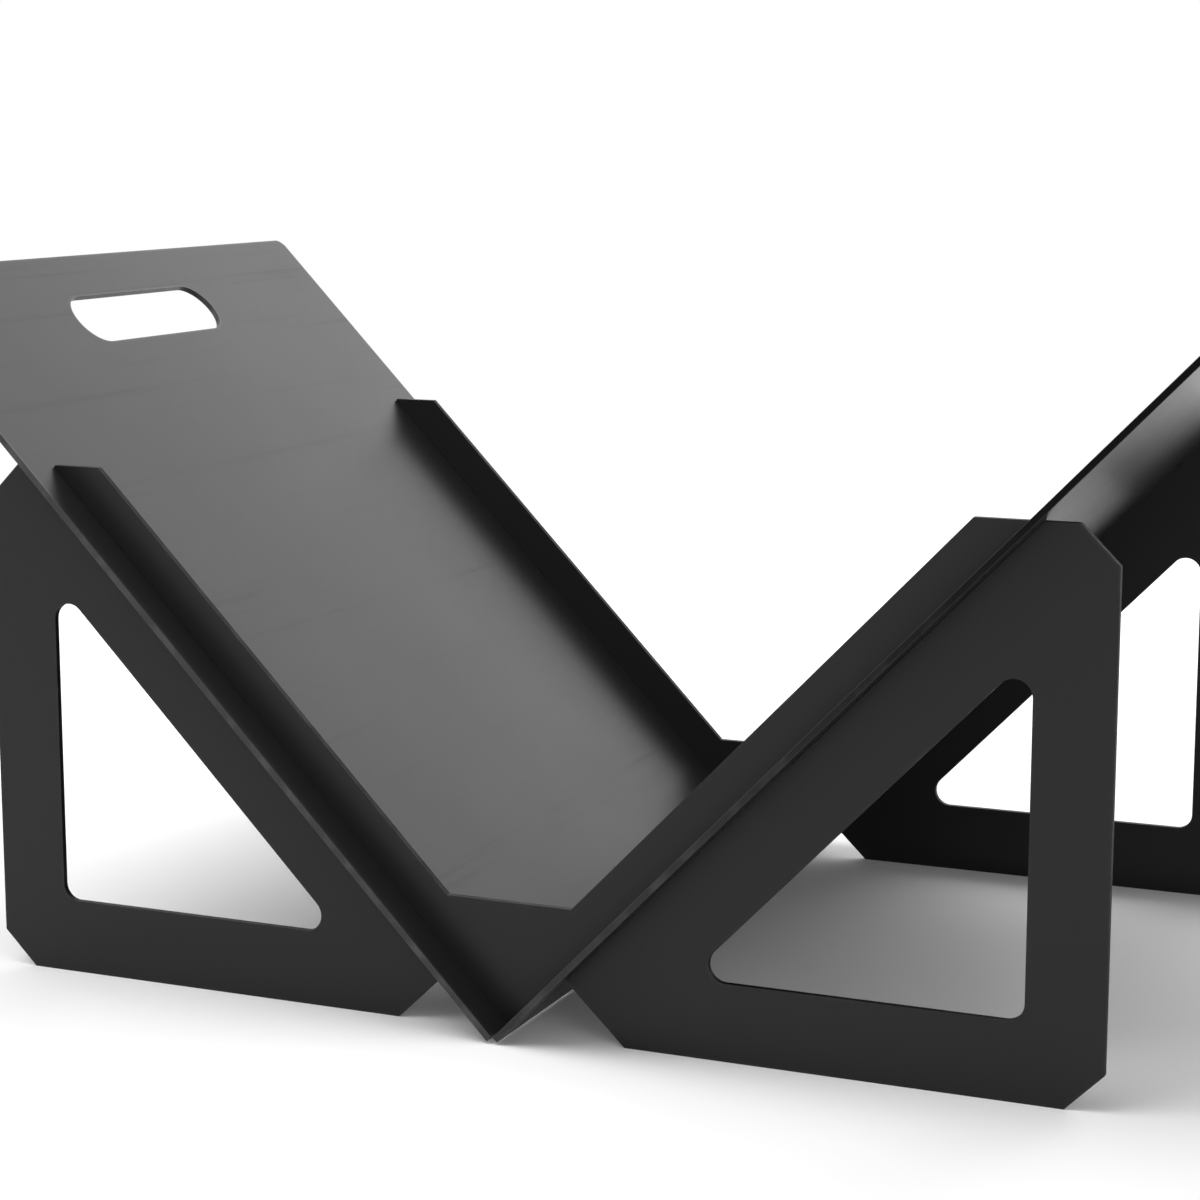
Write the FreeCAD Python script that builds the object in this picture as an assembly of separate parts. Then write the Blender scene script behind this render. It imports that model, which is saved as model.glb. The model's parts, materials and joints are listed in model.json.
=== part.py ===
import FreeCAD, Part
import math
import os

# Log holder that slots together from four flat pieces of cut sheet steel.
# Two W-shaped end panels stand on the floor. Each has two triangular legs and a lip that follows the V.
# Two side plates slide down into slits in the panels and make a V trough between them.
# Every crossing is a halving joint: the panel is slit from its top edge and the side plate from its lower
# edge, and each slit takes the other sheet until their blind ends meet.
# Units are millimetres. X runs across the V, Y from front to back and Z up from the floor.
# The origin is on the floor, in the middle of the holder.

# Sheet and fits
sheet = 3.0                  # thickness of every piece
slit_clearance = 0.3         # gap on each side of a sheet that stands in a slit
tip_gap = 0.6                # gap between the lower ends of the two side plates
cut_overrun = 5.0            # how far a cutting tool runs past the material

# End panels
panel_width = 550.0
panel_height = 250.0
foot_corner_cut = 17.0       # bevel at the outer corner of each foot
top_corner_cut = 17.0        # bevel at the outer corner of each leg's top
foot_gap = 114.0             # between the inner corners of a panel's two feet
post_width = 35.0            # upright band of a leg
rail_height = 36.0           # band along the floor
brace_width = 36.0           # sloping band under a side plate
window_radius = 8.0          # corners of the triangular windows
lip_height = 18.5            # how far the lip stands above a side plate's inner face
lip_floor_height = 61.5      # level edge at the bottom of the lip's V

# Side plates
side_tilt = 46.0             # degrees from the floor
side_length = 470.0          # up the slope
side_depth = 395.0           # from front to back
side_overhang = 19.0         # how far a side plate stands out past each end panel
side_corner_radius = 6.0     # upper corners
tip_height = 1.0             # lower ends of the side plates above the floor

# Hand slots
hand_slot_length = 132.0
hand_slot_height = 31.0
hand_slot_margin = 28.0      # metal left between the slot and the upper edge

# Derived places
tilt = math.radians(side_tilt)
panel_half = panel_width / 2
foot_half = foot_gap / 2
corner_x = tip_gap / 2                              # inner lower corner of the right side plate
corner_z = tip_height + sheet * math.cos(tilt)
panel_outer_y = side_depth / 2 - side_overhang      # outer face of an end panel
panel_middle_y = panel_outer_y - sheet / 2
side_frame = FreeCAD.Placement(
    FreeCAD.Vector(corner_x, 0, corner_z),
    FreeCAD.Rotation(FreeCAD.Vector(0, 1, 0), -side_tilt))


def along_side(reach, lift):
    """Point of the XZ plane that lies reach up the right plate's slope and lift above its inner face."""
    x = corner_x + reach * math.cos(tilt) - lift * math.sin(tilt)
    z = corner_z + reach * math.sin(tilt) + lift * math.cos(tilt)
    return x, z


def reach_at_height(z, lift):
    """How far up the slope a line at that lift comes to the height z."""
    return (z - corner_z - lift * math.cos(tilt)) / math.sin(tilt)


def reach_at_width(x, lift):
    """How far up the slope a line at that lift comes to the distance x from the middle."""
    return (x - corner_x + lift * math.sin(tilt)) / math.cos(tilt)


# The halving joint runs from the foot's inner bevel to the panel's top edge, and each sheet gives up half.
foot_reach = (foot_half - corner_x) * math.cos(tilt) - corner_z * math.sin(tilt)
top_reach = reach_at_height(panel_height, 0)
seat_reach = (foot_reach + top_reach) / 2


def mirrored(shape):
    """The same piece on the other side of the V."""
    return shape.mirror(FreeCAD.Vector(0, 0, 0), FreeCAD.Vector(1, 0, 0))


def upright_sheet(outline, start_y, thickness):
    """Closed XZ outline carried along Y from start_y."""
    points = [FreeCAD.Vector(x, start_y, z) for x, z in outline]
    face = Part.Face(Part.makePolygon(points + points[:1]))
    return face.extrude(FreeCAD.Vector(0, thickness, 0))


def edges_along(shape, direction):
    """Straight edges of a shape that run along a direction."""
    found = []
    for edge in shape.Edges:
        run = edge.valueAt(edge.LastParameter) - edge.valueAt(edge.FirstParameter)
        if run.cross(direction).Length < run.Length * 1e-6:
            found.append(edge)
    return found


def panel_outline():
    """W-shaped outline of an end panel: tongue, foot, leg, lip, and the same again mirrored.

    The tongue fills the side plates' slits down to their lower ends, flush with the plates' outer faces.
    """
    half = [
        along_side(0, -sheet),
        along_side(foot_reach, -sheet),
        (foot_half, 0),
        (panel_half - foot_corner_cut, 0),
        (panel_half, foot_corner_cut),
        (panel_half, panel_height - top_corner_cut),
        (panel_half - top_corner_cut, panel_height),
        along_side(reach_at_height(panel_height, lip_height), lip_height),
        along_side(reach_at_height(lip_floor_height, lip_height), lip_height),
    ]
    other_half = [(-x, z) for x, z in reversed(half)]
    return half + other_half


def leg_window(start_y, thickness):
    """Triangular opening of the right leg, with rounded corners."""
    lift = -sheet - brace_width
    post_x = panel_half - post_width
    corners = [
        along_side(reach_at_height(rail_height, lift), lift),
        (post_x, rail_height),
        along_side(reach_at_width(post_x, lift), lift),
    ]
    prism = upright_sheet(corners, start_y, thickness)
    return prism.makeFillet(window_radius, edges_along(prism, FreeCAD.Vector(0, 1, 0)))


def panel_slit(start_y, thickness):
    """Room for the right side plate, from the seat of the halving joint out through the panel's top."""
    outer_lift = -sheet - slit_clearance
    mouth_reach = reach_at_height(panel_height, outer_lift) + cut_overrun
    tool = Part.makeBox(
        mouth_reach - seat_reach, thickness, slit_clearance - outer_lift,
        FreeCAD.Vector(seat_reach, start_y, outer_lift))
    tool.Placement = side_frame
    return tool


def end_panel(start_y):
    """One-piece end panel whose lower face in Y is at start_y."""
    body = upright_sheet(panel_outline(), start_y, sheet)
    tool_y = start_y - cut_overrun
    tool_depth = sheet + 2 * cut_overrun
    tools = []
    for tool in (leg_window(tool_y, tool_depth), panel_slit(tool_y, tool_depth)):
        tools += [tool, mirrored(tool)]
    return body.cut(tools)


def hand_slot():
    """Round-ended grip opening near the upper edge, in the side plate's own flat frame."""
    radius = hand_slot_height / 2
    centre_reach = side_length - hand_slot_margin - radius
    straight = hand_slot_length - hand_slot_height
    tool_depth = sheet + 2 * cut_overrun
    start = FreeCAD.Vector(centre_reach, -straight / 2, -sheet - cut_overrun)
    slot = Part.makeBox(hand_slot_height, straight, tool_depth, start - FreeCAD.Vector(radius, 0, 0))
    for end in (start, start + FreeCAD.Vector(0, straight, 0)):
        slot = slot.fuse(Part.makeCylinder(radius, tool_depth, end))
    return slot.removeSplitter()


def side_plate():
    """Right side plate, cut flat and then set on its slope."""
    blank = Part.makeBox(side_length, side_depth, sheet, FreeCAD.Vector(0, -side_depth / 2, -sheet))
    upper = [e for e in edges_along(blank, FreeCAD.Vector(0, 0, 1)) if e.CenterOfMass.x > side_length / 2]
    plate = blank.makeFillet(side_corner_radius, upper)
    slit_width = sheet + 2 * slit_clearance
    tools = [hand_slot()]
    for middle_y in (-panel_middle_y, panel_middle_y):
        start = FreeCAD.Vector(-cut_overrun, middle_y - slit_width / 2, -sheet - cut_overrun)
        tools.append(Part.makeBox(seat_reach + cut_overrun, slit_width, sheet + 2 * cut_overrun, start))
    plate = plate.cut(tools)
    plate.Placement = side_frame
    return plate


right_plate = side_plate()
pieces = {
    "front_end_panel": end_panel(-panel_outer_y),
    "rear_end_panel": end_panel(panel_outer_y - sheet),
    "right_side_plate": right_plate,
    "left_side_plate": mirrored(right_plate),
}

os.makedirs("parts", exist_ok=True)
for name, shape in pieces.items():
    solid = shape.Solids[0]
    solid.exportStep(f"parts/{name}.step")
    box = solid.BoundBox
    print(f"{name}: solids {len(shape.Solids)}, valid {solid.isValid()}, volume {solid.Volume:.0f} mm3, "
          f"box {box.XLength:.1f} x {box.YLength:.1f} x {box.ZLength:.1f}")
print(f"halving joint from {foot_reach:.1f} to {top_reach:.1f} up the slope, seated at {seat_reach:.1f}")
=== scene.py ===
# %% [markdown]
# A log holder cut from black sheet steel
#
# The real holder is four flat pieces of 3 mm steel, cut by laser, powder coated and then slotted together.
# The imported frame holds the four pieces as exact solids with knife-sharp edges. On real sheet the edges are
# broken after cutting, and the coat rounds them further, and those soft edges are what catches the light.
# So each piece is made again here, the same cut shape with a rounded rim, standing where its solid stands.

# %% Load the frame
import json
import math

import bpy
import numpy as np
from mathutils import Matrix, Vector
from mathutils.geometry import delaunay_2d_cdt


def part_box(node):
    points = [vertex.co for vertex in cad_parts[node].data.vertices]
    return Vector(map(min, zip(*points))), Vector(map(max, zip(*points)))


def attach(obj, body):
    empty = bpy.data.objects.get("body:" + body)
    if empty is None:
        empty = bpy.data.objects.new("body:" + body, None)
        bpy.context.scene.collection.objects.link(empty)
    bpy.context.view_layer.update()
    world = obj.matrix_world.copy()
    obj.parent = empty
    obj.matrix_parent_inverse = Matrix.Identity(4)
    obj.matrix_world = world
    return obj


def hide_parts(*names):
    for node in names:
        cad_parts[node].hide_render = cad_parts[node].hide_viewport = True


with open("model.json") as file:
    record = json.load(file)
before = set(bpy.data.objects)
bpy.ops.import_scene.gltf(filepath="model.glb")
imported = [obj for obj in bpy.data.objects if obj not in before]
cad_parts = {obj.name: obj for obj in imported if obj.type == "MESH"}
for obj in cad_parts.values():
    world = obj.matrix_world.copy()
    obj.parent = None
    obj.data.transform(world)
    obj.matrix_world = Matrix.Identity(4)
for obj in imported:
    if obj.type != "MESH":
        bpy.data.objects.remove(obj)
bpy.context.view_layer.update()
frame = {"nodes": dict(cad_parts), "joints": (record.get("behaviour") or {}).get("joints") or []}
print("pieces in the frame:", ", ".join(sorted(frame["nodes"])))

# %% [markdown]
# Sizes that the frame already knows
#
# A size that the frame can give is not typed a second time. A panel's box gives the sheet's thickness and
# the panel's width and height. The axis of a side plate's joint gives the slope of the V, because a plate
# slides out along its own length. With the slope, the plate's box gives its length and its lower corner.

# %% Read the sizes from the frame
mm = 0.001

panel_low, panel_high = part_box("front_end_panel")
sheet = panel_high.y - panel_low.y
panel_half = panel_high.x
panel_height = panel_high.z

slope_run, _, slope_rise = next(
    joint["axis"] for joint in frame["joints"] if joint["name"] == "right_side_lift")

plate_low, plate_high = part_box("right_side_plate")
plate_half_depth = plate_high.y
corner_x = plate_low.x                                  # lower corner of the plate's inner face
corner_z = plate_low.z + sheet * slope_run
plate_length = (plate_high.z - corner_z) / slope_rise
print(f"sheet {sheet / mm:.1f} mm, slope {math.degrees(math.atan2(slope_rise, slope_run)):.1f} degrees, "
      f"plate {plate_length / mm:.1f} x {2 * plate_half_depth / mm:.1f} mm")

# %% [markdown]
# The cut shape of an end panel
#
# An end panel is one W-shaped sheet: a tongue in the middle, a triangular leg on each side, and a lip that
# follows the inside of the V. It could be drawn as a curve by hand, but most of its corners lie on lines
# that run beside a side plate. So small helpers give a point by how far it is up the slope and how far
# above the plate's inner face, and the outline is written with them. Only the right half is written down.
# The slits are shown narrower than in the bare solids, because the coat on both faces fills most of the
# play.

# %% Points beside the slope


def along_slope(reach, lift):
    """Point (x, z): the right plate's lower corner, plus reach up the slope, plus lift square to it."""
    return (corner_x + reach * slope_run - lift * slope_rise,
            corner_z + reach * slope_rise + lift * slope_run)


def at_height(z, lift):
    """Point where the line at that lift comes to the height z: the rise left to z over the slope's rise."""
    return along_slope((z - corner_z - lift * slope_run) / slope_rise, lift)


def at_width(x, lift):
    """Point where the line at that lift comes to the distance x from the middle, by the slope's run."""
    return along_slope((x - corner_x + lift * slope_rise) / slope_run, lift)


foot_half = 57 * mm                 # inner corner of a foot, from the middle
foot_reach = (foot_half - corner_x) * slope_run - corner_z * slope_rise
top_reach = (panel_height - corner_z) / slope_rise
seat_reach = (foot_reach + top_reach) / 2               # blind end of every slit: each sheet gives up half
print(f"slits seated {seat_reach / mm:.1f} mm up the slope")

# %% Outline of an end panel
slit_clearance = 0.08 * mm          # what the coat leaves of the play in the solids' slits
slit_inner, slit_outer = slit_clearance, -sheet - slit_clearance
corner_cut = 17 * mm                # bevels at the outer corners of a leg
lip_height = 18.5 * mm              # above the side plate's inner face
lip_floor_height = 61.5 * mm        # level edge at the bottom of the lip's V

leg_corners = [
    along_slope(0, -sheet),
    along_slope(foot_reach, -sheet),
    (foot_half, 0),
    (panel_half - corner_cut, 0),
    (panel_half, corner_cut),
    (panel_half, panel_height - corner_cut),
    (panel_half - corner_cut, panel_height),
]
slit_corners = [
    at_height(panel_height, slit_outer),
    along_slope(seat_reach, slit_outer),
    along_slope(seat_reach, slit_inner),
    at_height(panel_height, slit_inner),
]
lip_corners = [
    at_height(panel_height, lip_height),
    at_height(lip_floor_height, lip_height),
]
half_outline = leg_corners + slit_corners + lip_corners
half_in_slit = [corner in slit_corners for corner in half_outline]
panel_outline = np.array(half_outline + [(-x, z) for x, z in half_outline[::-1]])
panel_in_slit = np.array(half_in_slit + half_in_slit[::-1])
print(f"panel outline with {len(panel_outline)} corners, {panel_in_slit.sum()} of them in its slits")

# %% Windows of the legs
post_width = 35 * mm
rail_height = 36 * mm
brace_width = 36 * mm
brace_line = -sheet - brace_width
post_line = panel_half - post_width

right_window = np.array([
    at_width(post_line, brace_line),
    (post_line, rail_height),
    at_height(rail_height, brace_line),
])
left_window = right_window[::-1] * (-1, 1)
window_width, window_height = np.ptp(right_window, axis=0)
print(f"windows {window_width / mm:.1f} x {window_height / mm:.1f} mm before their corners are rounded")

# %% [markdown]
# The cut shape of a side plate
#
# A side plate is a plain rectangle, slit twice from its lower edge where the end panels pass through it,
# with a round-ended hand slot near its upper edge. It is drawn flat: the first coordinate runs up the slope
# and the second from front to back. Outlines run anticlockwise and openings clockwise, so that the metal is
# always on the left of the cut and one rule says which way is out.

# %% Outline of a side plate
panel_middle = (panel_low.y + panel_high.y) / 2
slit_half = sheet / 2 + slit_clearance
near_slit, far_slit = -panel_middle - slit_half, -panel_middle + slit_half

blank_corners = [
    (0, -plate_half_depth),
    (plate_length, -plate_half_depth),
    (plate_length, plate_half_depth),
    (0, plate_half_depth),
]
rear_slit = [
    (0, far_slit),
    (seat_reach, far_slit),
    (seat_reach, near_slit),
    (0, near_slit),
]
front_slit = [(reach, -depth) for reach, depth in rear_slit[::-1]]
plate_outline = np.array(blank_corners + rear_slit + front_slit)
plate_in_slit = np.repeat([False, True], [len(blank_corners), len(rear_slit + front_slit)])
print(f"plate outline with {len(plate_outline)} corners, slits {2 * slit_half / mm:.2f} mm wide")

# %% Hand slot of a side plate
hand_slot_length = 132 * mm
hand_slot_height = 31 * mm
hand_slot_margin = 28 * mm          # metal between the slot and the upper edge
slot_top = plate_length - hand_slot_margin
slot_foot = slot_top - hand_slot_height

hand_slot = np.array([
    (slot_foot, -hand_slot_length / 2),
    (slot_foot, hand_slot_length / 2),
    (slot_top, hand_slot_length / 2),
    (slot_top, -hand_slot_length / 2),
])
print(f"hand slot {hand_slot_length / mm:.0f} x {hand_slot_height / mm:.0f} mm")

# %% [markdown]
# From corners to a cut line with true arcs
#
# A laser leaves a small radius at every corner, and the windows and hand slots have large ones. The rim
# also needs the same line again a little further in, for each step of its rounding. Both come from one
# function: it shifts every side into the metal, finds the new corners where the shifted sides meet, and
# puts an arc at each. All corners are worked out together as arrays, one row for each corner.

# %% Parallel lines of a cut
arc_steps = 13                      # points on each corner's arc
least_radius = 0.05 * mm


def cut_line(corners, radii, inset):
    """Closed line that runs inside a cut at the distance inset, with an arc at each corner.

    A corner moves in by inset times the sum of its two sides' outward directions over one plus their dot
    product. An arc round a corner that points outwards loses the inset from its radius, and one round a
    corner that points inwards gains it. Returns the points and the outward direction at each point.
    """
    side = np.roll(corners, -1, axis=0) - corners
    side /= np.linalg.norm(side, axis=1, keepdims=True)
    leaving = np.column_stack([side[:, 1], -side[:, 0]])
    arriving = np.roll(leaving, 1, axis=0)
    dot = np.sum(arriving * leaving, axis=1)
    turn = np.arctan2(arriving[:, 0] * leaving[:, 1] - arriving[:, 1] * leaving[:, 0], dot)
    bend = np.sign(turn)[:, None]
    towards_corner = (arriving + leaving) / (1 + dot)[:, None]
    radius = np.maximum(np.reshape(radii, (-1, 1)) - bend * inset, least_radius)
    centre = corners - towards_corner * (inset + bend * radius)

    angle = turn[:, None] * np.linspace(0, 1, arc_steps)
    cos, sin = np.cos(angle), np.sin(angle)
    outward = np.stack([
        arriving[:, :1] * cos - arriving[:, 1:] * sin,
        arriving[:, :1] * sin + arriving[:, 1:] * cos,
    ], axis=-1)
    points = centre[:, None] + (bend * radius)[:, None] * outward
    return points.reshape(-1, 2), outward.reshape(-1, 2)


print(f"cut lines of {arc_steps * len(panel_outline)} points for a panel, "
      f"{arc_steps * len(plate_outline)} for a plate")

# %% [markdown]
# The rounded rim
#
# The rim of the sheet is a profile carried along the cut line. The profile starts on one face, a few
# millimetres in, turns over the edge on a quarter circle, runs down the cut wall, and turns again onto the
# other face. A Bevel modifier could round the edge as well, but carrying the profile gives exact normals,
# and it lets every point remember its distance from the edge. The worn edges of the panels and the
# painted highlight on the plates' edges need that distance.

# %% Profile over the edge
# On the panels this band is worn. On the plates it carries a painted highlight, a grey that stands in for
# light on the edge.
wear_highlight_band = 1.8 * mm                # where rubbing has thinned the coat
calm_band = 5.0 * mm                # beyond this the face is untouched
edge_radius = 0.15 * mm             # laser edge, only just broken
edge_steps = 6                      # points on each quarter circle
quarter = np.radians(np.linspace(90, 0, edge_steps))    # the normal's angle, from upright to level

# On the upper quarter circle the inset is the radius times one minus the cosine of the normal's angle, and
# the depth is the radius times one minus its sine. The lower half is the same, read backwards from the
# other face.
upper_inset = np.concatenate([[calm_band, wear_highlight_band], edge_radius * (1 - np.cos(quarter))])
upper_depth = np.concatenate([[0, 0], edge_radius * (1 - np.sin(quarter))])
upper_angle = np.concatenate([quarter[[0, 0]], quarter])
profile_inset = np.concatenate([upper_inset, upper_inset[::-1]])
profile_depth = np.concatenate([upper_depth, sheet - upper_depth[::-1]])
profile_angle = np.concatenate([upper_angle, -upper_angle[::-1]])
print(f"profile of {len(profile_inset)} points over an edge of {edge_radius / mm:.2f} mm radius")

# %% Carry the profile along a cut


def cut_rim(corners, radii, in_slit):
    """Grid over the edge of one cut: points, normals and edge distances, a row for each profile point.

    A point is the cut line at the profile's inset, lowered by the profile's depth. Its normal is the
    outward direction times the cosine of the profile's angle, plus the sheet's upward direction times the
    sine. Its edge distance is the profile's inset. In a slit, which nothing rubs and where no highlight
    is painted, the band of wear and painted highlight is added to it.
    """
    lines = [cut_line(corners, radii, inset) for inset in profile_inset]
    flat = np.stack([line for line, _ in lines])
    outward = np.stack([direction for _, direction in lines])
    depth = np.broadcast_to(-profile_depth[:, None, None], flat.shape[:2] + (1,))
    rise = np.broadcast_to(np.sin(profile_angle)[:, None, None], depth.shape)
    level = outward * np.cos(profile_angle)[:, None, None]
    shielded = np.repeat(np.broadcast_to(in_slit, len(corners)), arc_steps)
    return (np.concatenate([flat, depth], axis=2),
            np.concatenate([level, rise], axis=2),
            profile_inset[:, None] + wear_highlight_band * shielded)


print(f"a panel's outer rim is a grid of {len(profile_inset)} x {arc_steps * len(panel_outline)} points")

# %% [markdown]
# One flat sheet with openings
#
# Each cut gives a grid: one parameter runs along the line, the other over the edge. The two flat faces then
# fill what the innermost lines leave. A single many-sided face with holes is fragile, so the faces are
# divided into triangles by a constrained Delaunay triangulation, and both faces use the same triangles.

# %% Fill a face
inside_only = 1                     # the triangulation keeps what lies inside the outer line
merge_distance = 1e-9               # metres: points of a line are never this close


def fill_face(rings):
    """Triangles between closed lines of points. The first line is the outline, the rest are openings.

    The sides of all lines are kept as edges. A triangle with all three corners on one opening lies in that
    opening and is left out.
    """
    sizes = [len(ring) for ring in rings]
    starts = np.cumsum([0] + sizes[:-1])
    sides = np.concatenate([
        np.column_stack([start + np.arange(size), start + np.roll(np.arange(size), -1)])
        for start, size in zip(starts, sizes)])
    _, _, found, originals, _, _ = delaunay_2d_cdt(
        np.concatenate(rings).tolist(), sides.tolist(), [], inside_only, merge_distance)
    given_point = np.array(originals)[:, 0]
    triangles = given_point[np.array(found)]
    owners = np.repeat(np.arange(len(rings)), sizes)[triangles]
    in_opening = (owners[:, 0] > 0) & (owners == owners[:, :1]).all(axis=1)
    return triangles[~in_opening]


print(f"a face starts {profile_inset[0] / mm:.1f} mm in from each cut")

# %% Build a sheet in its own plane


def cut_sheet(cuts):
    """Points, normals, faces, edge distances and face sides of a sheet.

    Each cut is (corners, radii, in_slit), and its grid is closed along its line by stepping from the last
    column to the first. The upper face joins the first rows of all grids and the lower face the last rows.
    The face side runs from one on the upper face to nought on the lower one, by the profile's depth.
    """
    points, normals, distances = zip(*(cut_rim(*cut) for cut in cuts))
    counts = [grid.size for grid in distances]
    starts = np.cumsum([0] + counts[:-1])
    ids = [start + np.arange(grid.size).reshape(grid.shape) for start, grid in zip(starts, distances)]
    ahead = [np.roll(grid, -1, axis=1) for grid in ids]
    quads = [
        np.stack([here[:-1], here[1:], there[1:], there[:-1]], axis=-1).reshape(-1, 4)
        for here, there in zip(ids, ahead)]

    triangles = fill_face([grid[0, :, :2] for grid in points])
    upper = np.concatenate([grid[0] for grid in ids])[triangles]
    lower = np.concatenate([grid[-1] for grid in ids])[triangles[:, ::-1]]
    faces = np.concatenate(quads).tolist() + upper.tolist() + lower.tolist()
    face_side = [np.repeat(1 - profile_depth / sheet, grid.shape[1]) for grid in ids]
    return (np.concatenate([grid.reshape(-1, 3) for grid in points]),
            np.concatenate([grid.reshape(-1, 3) for grid in normals]),
            faces,
            np.concatenate([grid.ravel() for grid in distances]),
            np.concatenate(face_side))


print(f"a sheet is {len(profile_inset) - 1} bands of four-sided faces along each cut, and two flat faces")

# %% Cuts of a panel and of a plate
corner_radius = 0.7 * mm            # left by the cut at a plain corner
window_radius = 8 * mm
plate_corner_radius = 6 * mm
slot_radius_share = 0.495           # of the slot's height: just under half, so that no two arcs meet

panel_cuts = [
    (panel_outline, corner_radius, panel_in_slit),
    (right_window, window_radius, False),
    (left_window, window_radius, False),
]
at_upper_edge = plate_outline[:, 0] == plate_length
plate_radii = np.where(at_upper_edge, plate_corner_radius, corner_radius)
plate_cuts = [
    (plate_outline, plate_radii, plate_in_slit),
    (hand_slot, slot_radius_share * hand_slot_height, False),
]
print(f"{len(panel_cuts)} cuts for a panel, {len(plate_cuts)} for a plate")

# %% [markdown]
# Finish: satin black powder coat
#
# Powder coat is sprayed as dry powder and melted in an oven. It flows into a smooth film with a faint
# pebbled skin, called orange peel, and it is thinnest on the edges. Its gloss is a plain film reflection,
# so the shader is one Principled BSDF with the index of a resin. The small differences over the surface
# come from node groups that the panels and the plates share, each with its own values.

# %% Helpers for node trees


def add_node(tree, kind, inputs=None, **settings):
    """New node of a kind. Each input gets a value, or the output of another node that feeds it."""
    node = tree.nodes.new(kind)
    for setting, value in settings.items():
        setattr(node, setting, value)
    for name, value in (inputs or {}).items():
        if isinstance(value, bpy.types.NodeSocket):
            tree.links.new(value, node.inputs[name])
        else:
            node.inputs[name].default_value = value
    return node


def start_group(name, inputs, output):
    """Empty shader node group with number inputs, their usual values, and one number output."""
    tree = bpy.data.node_groups.new(name, "ShaderNodeTree")
    for label, value in inputs.items():
        socket = tree.interface.new_socket(label, in_out="INPUT", socket_type="NodeSocketFloat")
        socket.default_value = value
    tree.interface.new_socket(output, in_out="OUTPUT", socket_type="NodeSocketFloat")
    return tree, tree.nodes.new("NodeGroupInput").outputs, tree.nodes.new("NodeGroupOutput").inputs


# A Mix node keeps sockets for every kind of data. These are the numbers of the ones that are used here.
mix_factor, number_a, number_b, colour_a, colour_b = 0, 2, 3, 6, 7
mixed_number, mixed_colour = 0, 2
print("node groups for Blender", bpy.app.version_string)

# %% [markdown]
# Orange peel
#
# The pebbles of a satin coat are one to two millimetres across and only a few thousandths of a millimetre
# high. Two noises make them: a broad one for the flow of the film, and a fine one for the grain that the
# powder leaves. The group gives a height, and each material turns it into a normal with a Bump node.

# %% Orange peel group
grains_per_pebble = 3.7

orange_peel, peel_in, peel_out = start_group(
    "orange_peel", {"Pebbles per metre": 600.0, "Grain": 0.3}, "Height")
peel_place = add_node(orange_peel, "ShaderNodeTexCoord")
pebbles = add_node(orange_peel, "ShaderNodeTexNoise", {
    "Vector": peel_place.outputs["Object"], "Scale": peel_in["Pebbles per metre"], "Detail": 1.0})
grain_scale = add_node(orange_peel, "ShaderNodeMath", {
    0: peel_in["Pebbles per metre"], 1: grains_per_pebble}, operation="MULTIPLY")
grain = add_node(orange_peel, "ShaderNodeTexNoise", {
    "Vector": peel_place.outputs["Object"], "Scale": grain_scale.outputs[0], "Detail": 2.0})
peel_height = add_node(orange_peel, "ShaderNodeMath", {
    0: grain.outputs["Fac"], 1: peel_in["Grain"], 2: pebbles.outputs["Fac"]}, operation="MULTIPLY_ADD")
orange_peel.links.new(peel_height.outputs[0], peel_out["Height"])
print("group", orange_peel.name, "with", len(orange_peel.nodes), "nodes")

# %% [markdown]
# Worn edges and painted edge highlights
#
# Carrying, stacking and slotting rub the edges of the panels, and there the coat is a little smoother and
# greyer, in a few faint runs. On the plates the same smoother grey is a painted highlight, a lighter colour
# that stands in for light on the edges. It runs all along the rim of the left plate, which shows as a light
# line, and it fades from the tip of the V upwards on the right plate. The mask falls off with the distance
# from the edge that each point of the sheet carries as an attribute. A noise breaks it up, and it can fade
# out towards a height above the floor.

# %% Rubbed edge group
# The panels' wear and the left plate's painted highlight use this height, so they do not fade.
everywhere = 100.0                  # metres: a height that nothing reaches, for wear that does not fade
run_begins, run_is_full = 0.45, 0.7                     # values of the noise

wear_highlight_edges, wear_highlight_inputs, wear_highlight_outputs = start_group("wear_highlight_edges", {
    "Width": wear_highlight_band, "Runs per metre": 70.0, "Least": 0.0, "Most": 1.0, "Up to": everywhere}, "Mask")
edge_distance = add_node(wear_highlight_edges, "ShaderNodeAttribute", attribute_name="edge_distance")
nearness = add_node(wear_highlight_edges, "ShaderNodeMapRange", {
    "Value": edge_distance.outputs["Fac"], "From Min": wear_highlight_inputs["Width"], "From Max": 0.0},
    interpolation_type="SMOOTHSTEP")
wear_highlight_place = add_node(wear_highlight_edges, "ShaderNodeTexCoord")
runs = add_node(wear_highlight_edges, "ShaderNodeTexNoise", {
    "Vector": wear_highlight_place.outputs["Object"], "Scale": wear_highlight_inputs["Runs per metre"], "Detail": 4.0})
broken = add_node(wear_highlight_edges, "ShaderNodeMapRange", {
    "Value": runs.outputs["Fac"], "From Min": run_begins, "From Max": run_is_full,
    "To Min": wear_highlight_inputs["Least"], "To Max": wear_highlight_inputs["Most"]})
above_floor = add_node(wear_highlight_edges, "ShaderNodeSeparateXYZ", {0: wear_highlight_place.outputs["Object"]})
lowness = add_node(wear_highlight_edges, "ShaderNodeMapRange", {
    "Value": above_floor.outputs["Z"], "From Min": wear_highlight_inputs["Up to"], "From Max": 0.0},
    interpolation_type="SMOOTHSTEP")
along_edge = add_node(wear_highlight_edges, "ShaderNodeMath", {
    0: nearness.outputs[0], 1: broken.outputs[0]}, operation="MULTIPLY")
wear_highlight_mask = add_node(wear_highlight_edges, "ShaderNodeMath", {
    0: along_edge.outputs[0], 1: lowness.outputs[0]}, operation="MULTIPLY")
wear_highlight_edges.links.new(wear_highlight_mask.outputs[0], wear_highlight_outputs["Mask"])
print("group", wear_highlight_edges.name, "with", len(wear_highlight_edges.nodes), "nodes")
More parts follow.
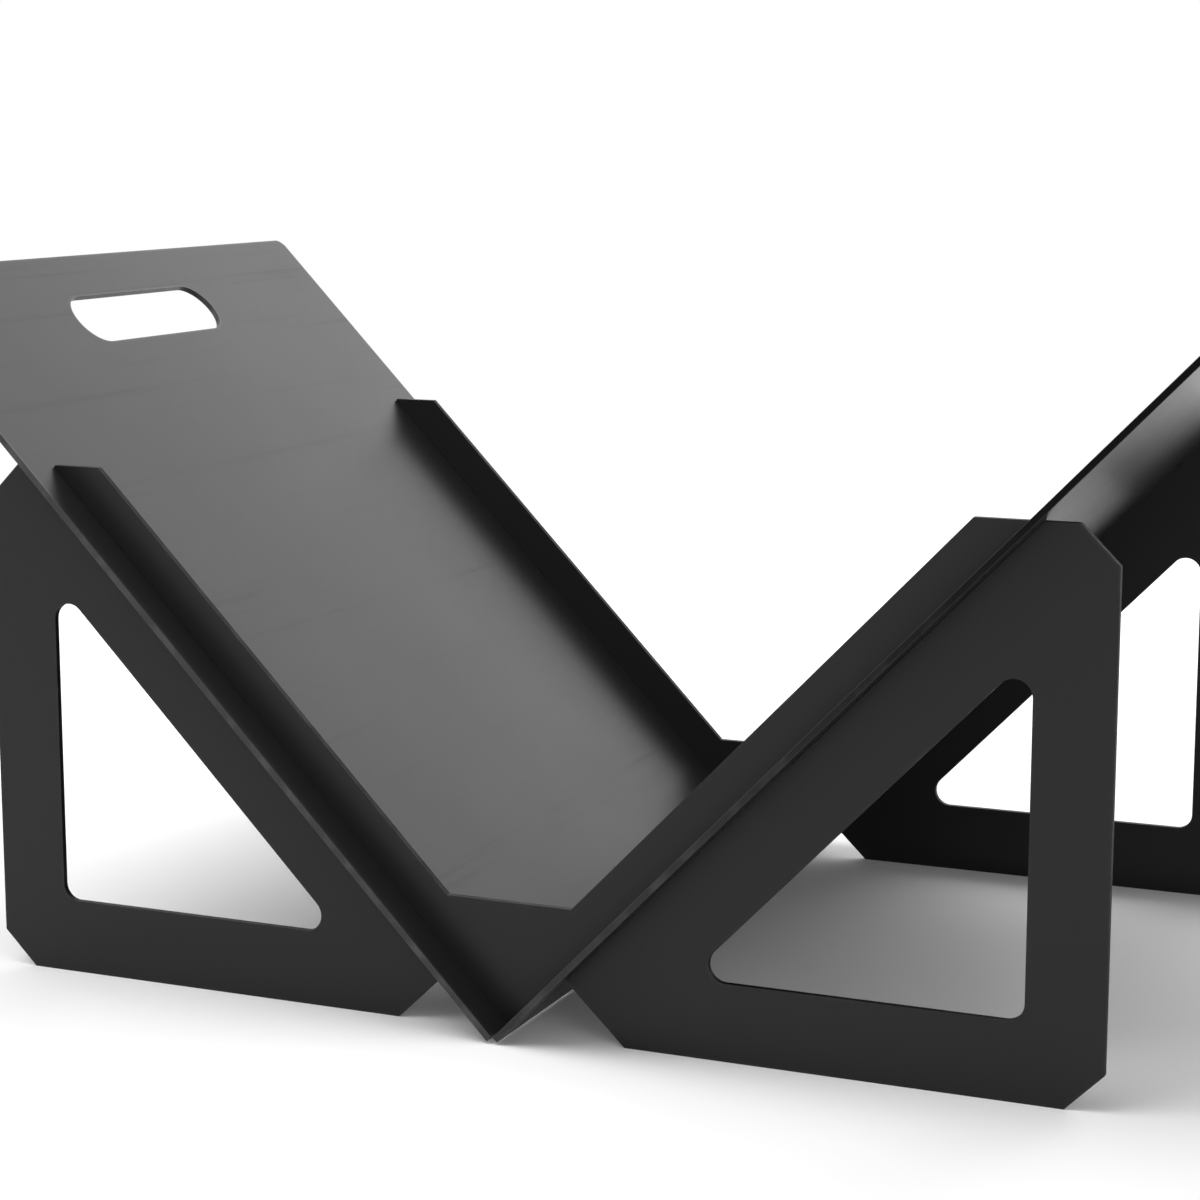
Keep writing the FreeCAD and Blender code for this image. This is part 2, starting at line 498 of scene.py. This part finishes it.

# %% [markdown]
# The wall of the cut
#
# A laser leaves a black scale on the wall that it cuts, and little powder holds there. So the thin edges of
# the sheet stay dark even where they face the light, until rubbing turns them grey on the panels. On the
# plates, the grey of the edge mask is a painted highlight. A painted film would still mirror the white room,
# so the wall is shown as a nearly black metal, which mirrors less. The mask comes from the attribute that
# runs from one face of a sheet to the other: it times what is left of it is nought on both faces and
# largest in the middle of the wall.

# %% Cut wall group
cut_wall, wall_in, wall_out = start_group("cut_wall", {"From": 0.03, "To": 0.12}, "Mask")
through_sheet = add_node(cut_wall, "ShaderNodeAttribute", attribute_name="face_side")
rest_of_sheet = add_node(cut_wall, "ShaderNodeMath", {
    0: 1.0, 1: through_sheet.outputs["Fac"]}, operation="SUBTRACT")
between_faces = add_node(cut_wall, "ShaderNodeMath", {
    0: through_sheet.outputs["Fac"], 1: rest_of_sheet.outputs[0]}, operation="MULTIPLY")
wall_mask = add_node(cut_wall, "ShaderNodeMapRange", {
    "Value": between_faces.outputs[0], "From Min": wall_in["From"], "From Max": wall_in["To"]},
    interpolation_type="SMOOTHSTEP")
cut_wall.links.new(wall_mask.outputs[0], wall_out["Mask"])
print("group", cut_wall.name, "with", len(cut_wall.nodes), "nodes")

# %% [markdown]
# Haze
#
# No satin film is equally bright all over. Oven heat, dust and hands leave broad, very faint clouds that
# show only as a change of gloss. One soft noise makes the clouds, and a finer one mottles them.

# %% Haze group
mottles_per_metre = 160.0

haze, haze_in, haze_out = start_group("haze", {"Clouds per metre": 9.0, "Mottle": 0.35}, "Amount")
haze_place = add_node(haze, "ShaderNodeTexCoord")
clouds = add_node(haze, "ShaderNodeTexNoise", {
    "Vector": haze_place.outputs["Object"], "Scale": haze_in["Clouds per metre"], "Detail": 3.0})
mottle = add_node(haze, "ShaderNodeTexNoise", {
    "Vector": haze_place.outputs["Object"], "Scale": mottles_per_metre, "Detail": 3.0})
mottled_clouds = add_node(haze, "ShaderNodeMix", {
    mix_factor: haze_in["Mottle"], number_a: clouds.outputs["Fac"], number_b: mottle.outputs["Fac"]},
    data_type="FLOAT")
haze.links.new(mottled_clouds.outputs[mixed_number], haze_out["Amount"])
print("group", haze.name, "with", len(haze.nodes), "nodes")

# %% [markdown]
# Scuffs in the trough
#
# What is laid in the trough slides along it from the front, so the inner faces carry hair-fine lines that
# run from front to back. They are a noise stretched along that direction, kept to the inner face by the
# attribute that tells the two faces of a sheet apart, and so faint that they only break up the gloss.

# %% Scuff group
scuff_stretch = (1.0, 0.012, 1.0)                       # long from front to back, which is Y
scuff_begins, scuff_is_full = 0.6, 0.75                 # values of the noise
inner_face_begins = 0.9                                 # face side, which is one on the inner face

trough_scuffs, scuff_in, scuff_out = start_group("trough_scuffs", {"Lines per metre": 260.0}, "Mask")
scuff_place = add_node(trough_scuffs, "ShaderNodeTexCoord")
stretched = add_node(trough_scuffs, "ShaderNodeMapping", {
    "Vector": scuff_place.outputs["Object"], "Scale": scuff_stretch})
hair_lines = add_node(trough_scuffs, "ShaderNodeTexNoise", {
    "Vector": stretched.outputs[0], "Scale": scuff_in["Lines per metre"], "Detail": 3.0, "Roughness": 0.6})
fine_lines = add_node(trough_scuffs, "ShaderNodeMapRange", {
    "Value": hair_lines.outputs["Fac"], "From Min": scuff_begins, "From Max": scuff_is_full})
which_face = add_node(trough_scuffs, "ShaderNodeAttribute", attribute_name="face_side")
inner_face = add_node(trough_scuffs, "ShaderNodeMapRange", {
    "Value": which_face.outputs["Fac"], "From Min": inner_face_begins, "From Max": 1.0})
scuff_mask = add_node(trough_scuffs, "ShaderNodeMath", {
    0: fine_lines.outputs[0], 1: inner_face.outputs[0]}, operation="MULTIPLY")
trough_scuffs.links.new(scuff_mask.outputs[0], scuff_out["Mask"])
print("group", trough_scuffs.name, "with", len(trough_scuffs.nodes), "nodes")

# %% [markdown]
# The coat on each kind of piece
#
# All three materials start from the same near-black resin. On the panels the wall of the cut is dull and
# dark. The plates are handled more: their walls are smoother and they carry the scuffs. The left one has a
# painted highlight, a grey that stands in for light, all along its wall. The right one has it mostly near
# the tip of the V. Index and specular level are the same all over and are set on the shader itself.

# %% Colours and gloss of the coat
coat_black = (0.0135, 0.0135, 0.0138, 1.0)
wall_black = (0.007, 0.007, 0.0072, 1.0)
# Grey of the worn coat on the panels' edges, and of a painted highlight along the plates' edges.
wear_highlight_grey = (0.06, 0.06, 0.061, 1.0)
coat_index = 1.5
coat_gloss = 0.2                    # specular level: the matting cuts what the coat mirrors straight on
coat_roughness = 0.34
haze_roughness = 0.03               # more or less of it, between the thick and the thin of the haze
haze_thin, haze_thick = 0.3, 0.7                        # values of the haze group's noise
# Roughness drops along the edge mask: where the panels are worn, and along the plates' painted highlight.
polish = 0.06                       # roughness that rubbing takes away
peel_strength = 0.1
peel_depth = 0.01 * mm
print(f"roughness {coat_roughness} plus or minus {haze_roughness}, {polish} less where the coat is rubbed")

# %% Build the three coats


def powder_coat(name, wall_roughness, wear_highlight_range, wear_highlight_up_to, scuff_roughness):
    """Satin black coat. Roughness is the coat's own, plus haze, plus scuffs, less where the edge mask is.

    The colour goes from the coat's black to the wall's by the cut mask, then to grey by the edge mask. That
    mask is wear on the panels and a painted highlight on the plates. The wall is metal by as much of the
    cut mask as the edge mask leaves.
    """
    material = bpy.data.materials.new(name)
    material.use_nodes = True
    tree = material.node_tree
    shader = tree.nodes["Principled BSDF"]
    shader.inputs["IOR"].default_value = coat_index
    shader.inputs["Specular IOR Level"].default_value = coat_gloss

    least_wear_highlight, most_wear_highlight = wear_highlight_range
    # The edge mask: wear on the panels, a painted highlight on the plates.
    wear_highlight_node = add_node(tree, "ShaderNodeGroup", {
        "Least": least_wear_highlight, "Most": most_wear_highlight, "Up to": wear_highlight_up_to}, node_tree=wear_highlight_edges)
    cloudy = add_node(tree, "ShaderNodeGroup", node_tree=haze)
    scuffs = add_node(tree, "ShaderNodeGroup", node_tree=trough_scuffs)
    peel = add_node(tree, "ShaderNodeGroup", node_tree=orange_peel)
    cut = add_node(tree, "ShaderNodeGroup", node_tree=cut_wall)

    darkened = add_node(tree, "ShaderNodeMix", {
        mix_factor: cut.outputs["Mask"], colour_a: coat_black, colour_b: wall_black}, data_type="RGBA")
    colour = add_node(tree, "ShaderNodeMix", {
        mix_factor: wear_highlight_node.outputs["Mask"], colour_a: darkened.outputs[mixed_colour], colour_b: wear_highlight_grey},
        data_type="RGBA")
    clouded = add_node(tree, "ShaderNodeMapRange", {
        "Value": cloudy.outputs["Amount"], "From Min": haze_thin, "From Max": haze_thick,
        "To Min": coat_roughness - haze_roughness, "To Max": coat_roughness + haze_roughness})
    scuffed = add_node(tree, "ShaderNodeMath", {
        0: scuffs.outputs["Mask"], 1: scuff_roughness, 2: clouded.outputs[0]}, operation="MULTIPLY_ADD")
    polished = add_node(tree, "ShaderNodeMath", {
        0: wear_highlight_node.outputs["Mask"], 1: -polish, 2: scuffed.outputs[0]}, operation="MULTIPLY_ADD")
    dulled = add_node(tree, "ShaderNodeMix", {
        mix_factor: cut.outputs["Mask"], number_a: polished.outputs[0], number_b: wall_roughness},
        data_type="FLOAT")
    scaled = add_node(tree, "ShaderNodeMath", {
        0: cut.outputs["Mask"], 1: wear_highlight_node.outputs["Mask"]}, operation="SUBTRACT", use_clamp=True)
    skin = add_node(tree, "ShaderNodeBump", {
        "Strength": peel_strength, "Distance": peel_depth, "Height": peel.outputs["Height"]})

    tree.links.new(colour.outputs[mixed_colour], shader.inputs["Base Color"])
    tree.links.new(dulled.outputs[mixed_number], shader.inputs["Roughness"])
    tree.links.new(scaled.outputs[0], shader.inputs["Metallic"])
    tree.links.new(skin.outputs[0], shader.inputs["Normal"])
    print(f"{name}: wear {least_wear_highlight} to {most_wear_highlight}, up to {wear_highlight_up_to} m")
    return material


plate_wall_roughness = 0.36
plate_scuff_roughness = 0.06
panel_coat = powder_coat(
    "panel_coat", wall_roughness=0.62, wear_highlight_range=(0.0, 0.25), wear_highlight_up_to=everywhere, scuff_roughness=0.0)
# The two plate coats differ in their painted highlight. It is grey all along the left plate's rim, and grey
# near the tip of the V on the right plate, fading out by 0.29 m above the floor.
right_plate_coat = powder_coat(
    "right_plate_coat", plate_wall_roughness, wear_highlight_range=(0.45, 0.8), wear_highlight_up_to=0.29,
    scuff_roughness=plate_scuff_roughness)
left_plate_coat = powder_coat(
    "left_plate_coat", plate_wall_roughness, wear_highlight_range=(0.6, 1.0), wear_highlight_up_to=everywhere,
    scuff_roughness=plate_scuff_roughness)

# %% [markdown]
# Standing the sheets up
#
# A sheet drawn flat is placed by an origin and three directions: its first coordinate, its second, and the
# direction that its upper face looks in. The two panels are the same sheet at two depths. The two plates
# are the same sheet too: the left one is the right one turned half a turn about the middle of the holder,
# so nothing is mirrored and no surface is turned inside out.

# %% Make the four pieces


def stand_sheet(name, cuts, origin, axes, coat, body, node):
    """Piece whose points are the origin plus each flat coordinate times its direction."""
    points, normals, faces, edge_distances, face_sides = cut_sheet(cuts)
    axes = np.array(axes, float)
    placed = np.array(origin) + points @ axes
    mesh = bpy.data.meshes.new(name)
    mesh.from_pydata(placed.tolist(), [], faces)
    for label, values in (("edge_distance", edge_distances), ("face_side", face_sides)):
        mesh.attributes.new(label, "FLOAT", "POINT").data.foreach_set("value", values)
    mesh.polygons.foreach_set("use_smooth", np.ones(len(faces), bool))
    mesh.normals_split_custom_set_from_vertices((normals @ axes).tolist())
    mesh.materials.append(coat)

    piece = bpy.data.objects.new(name, mesh)
    bpy.context.scene.collection.objects.link(piece)
    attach(piece, body)
    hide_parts(node)

    low, high = (np.array(corner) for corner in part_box(node))
    off = max(np.abs(placed.min(0) - low).max(), np.abs(placed.max(0) - high).max())
    print(f"{name}: {len(points)} points, {len(faces)} faces, box within {off / mm:.2f} mm of its solid")


rear_low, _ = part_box("rear_end_panel")
panel_axes = [(1, 0, 0), (0, 0, 1), (0, -1, 0)]
right_axes = [(slope_run, 0, slope_rise), (0, 1, 0), (-slope_rise, 0, slope_run)]
left_axes = [(-slope_run, 0, slope_rise), (0, -1, 0), (slope_rise, 0, slope_run)]

stand_sheet("front_panel_sheet", panel_cuts, (0, panel_low.y, 0), panel_axes,
            panel_coat, "end_panels", "front_end_panel")
stand_sheet("rear_panel_sheet", panel_cuts, (0, rear_low.y, 0), panel_axes,
            panel_coat, "end_panels", "rear_end_panel")
stand_sheet("right_plate_sheet", plate_cuts, (corner_x, 0, corner_z), right_axes,
            right_plate_coat, "right_side", "right_side_plate")
stand_sheet("left_plate_sheet", plate_cuts, (-corner_x, 0, corner_z), left_axes,
            left_plate_coat, "left_side", "left_side_plate")

# %% [markdown]
# Floor
#
# The holder stands on a plain pale floor that runs out to white. Close to the holder the floor is a matt
# surface that takes the shadow. Further out it turns into plain white, so that no horizon shows.

# %% Floor
floor_reach = 6.0                   # metres from the middle to each side
floor_corners = np.array([(-1, -1, 0), (1, -1, 0), (1, 1, 0), (-1, 1, 0)], float) * floor_reach
floor_mesh = bpy.data.meshes.new("floor")
floor_mesh.from_pydata(floor_corners.tolist(), [], [(0, 1, 2, 3)])
floor = bpy.data.objects.new("floor", floor_mesh)
bpy.context.scene.collection.objects.link(floor)
print("floor", floor_reach * 2, "m across")

# %% Floor paint
pale = (0.96, 0.96, 0.96, 1.0)
plain_white = (1.0, 1.0, 1.0, 1.0)
matt_up_to, white_from = 0.9, 2.2                       # metres from the middle

floor_paint = bpy.data.materials.new("floor_paint")
floor_paint.use_nodes = True
floor_tree = floor_paint.node_tree
floor_tree.nodes.clear()
floor_place = add_node(floor_tree, "ShaderNodeTexCoord")
from_middle = add_node(floor_tree, "ShaderNodeVectorMath", {
    0: floor_place.outputs["Object"]}, operation="LENGTH")
run_out = add_node(floor_tree, "ShaderNodeMapRange", {
    "Value": from_middle.outputs["Value"], "From Min": matt_up_to, "From Max": white_from},
    interpolation_type="SMOOTHSTEP")
matt = add_node(floor_tree, "ShaderNodeBsdfDiffuse", {"Color": pale})
white = add_node(floor_tree, "ShaderNodeEmission", {"Color": plain_white, "Strength": 1.0})
blended = add_node(floor_tree, "ShaderNodeMixShader", {
    0: run_out.outputs[0], 1: matt.outputs[0], 2: white.outputs[0]})
add_node(floor_tree, "ShaderNodeOutputMaterial", {"Surface": blended.outputs[0]})
floor_mesh.materials.append(floor_paint)
print(f"floor matt up to {matt_up_to} m and white from {white_from} m")

# %% [markdown]
# Studio light
#
# The photograph's light is a bright white room with no hard shadow. The world gives the room: seen by the
# camera or in a reflection it is white, and as a fill light it is weaker. Four softboxes do the rest. The
# one overhead stands to the left and to the front, so the shadow under the V falls to the right and
# backwards. Two weak ones at the front, one on each side, reach the faces of the panel that the plates'
# edges shade. The one behind is low: the left plate mirrors it in the trough, and the right plate mirrors
# the floor that it brightens, at a flat angle from below.

# %% World
fill_strength = 0.5

world = bpy.data.worlds.new("studio")
world.use_nodes = True
bpy.context.scene.world = world
world_tree = world.node_tree
world_tree.nodes.clear()
path = add_node(world_tree, "ShaderNodeLightPath")
seen = add_node(world_tree, "ShaderNodeMath", {
    0: path.outputs["Is Camera Ray"], 1: path.outputs["Is Glossy Ray"]}, operation="MAXIMUM")
seen_through = add_node(world_tree, "ShaderNodeMath", {
    0: seen.outputs[0], 1: path.outputs["Is Transmission Ray"]}, operation="MAXIMUM")
room = add_node(world_tree, "ShaderNodeBackground", {"Color": plain_white, "Strength": 1.0})
fill = add_node(world_tree, "ShaderNodeBackground", {"Color": plain_white, "Strength": fill_strength})
sky = add_node(world_tree, "ShaderNodeMixShader", {
    0: seen_through.outputs[0], 1: fill.outputs[0], 2: room.outputs[0]})
add_node(world_tree, "ShaderNodeOutputWorld", {"Surface": sky.outputs[0]})
print("world", world.name, "with a fill of", fill_strength)

# %% Softboxes


def softbox(name, width, height, power, place, aim):
    """Rectangular area lamp at a place, facing the point that it is aimed at."""
    lamp = bpy.data.lights.new(name, "AREA")
    lamp.shape = "RECTANGLE"
    lamp.size = width
    lamp.size_y = height
    lamp.energy = power
    stand = bpy.data.objects.new(name, lamp)
    stand.location = place
    stand.rotation_euler = (Vector(aim) - Vector(place)).to_track_quat("-Z", "Y").to_euler()
    stand.visible_camera = False
    bpy.context.scene.collection.objects.link(stand)
    print(f"{name}: {width} x {height} m, {power} W")


softbox("overhead_softbox", width=1.6, height=1.6, power=26.0, place=(-0.5, -0.4, 1.9), aim=(0, 0, 0.15))
softbox("left_softbox", width=1.2, height=1.0, power=9.0, place=(-1.9, -1.3, 0.9), aim=(0, -0.2, 0.15))
softbox("right_softbox", width=1.2, height=1.0, power=7.0, place=(1.6, -1.9, 1.1), aim=(0, -0.2, 0.15))
softbox("back_softbox", width=2.8, height=2.0, power=29.0, place=(0, 1.8, 1.15), aim=(0.05, 1.1, 0))

# %% [markdown]
# Camera
#
# The camera stands to the right of the holder and a little above it. Its place was fitted to the edges of
# the pieces in the photograph: the turn, the pitch, the distance and the lens together put the model's
# edges on those in the picture. The photograph cuts both sides of the V off, and so does the camera.

# %% Camera
camera_turn = math.radians(23.185)
camera_pitch = math.radians(9.720)
camera_aim = np.array((45.2 * mm, panel_low.y, 203.9 * mm))
distance_back = 1214.2 * mm
towards_camera = np.array((
    math.sin(camera_turn) * math.cos(camera_pitch),
    -math.cos(camera_turn) * math.cos(camera_pitch),
    math.sin(camera_pitch),
))

camera = bpy.data.cameras.new("camera")
camera.sensor_width = 36.0
camera.lens = 82.89
camera_object = bpy.data.objects.new("camera", camera)
camera_object.location = camera_aim + distance_back * towards_camera
camera_object.rotation_euler = (math.pi / 2 - camera_pitch, 0, camera_turn)
bpy.context.scene.collection.objects.link(camera_object)
bpy.context.scene.camera = camera_object
bpy.context.scene.view_settings.view_transform = "Standard"
print("camera at", [round(value, 3) for value in camera_object.location])
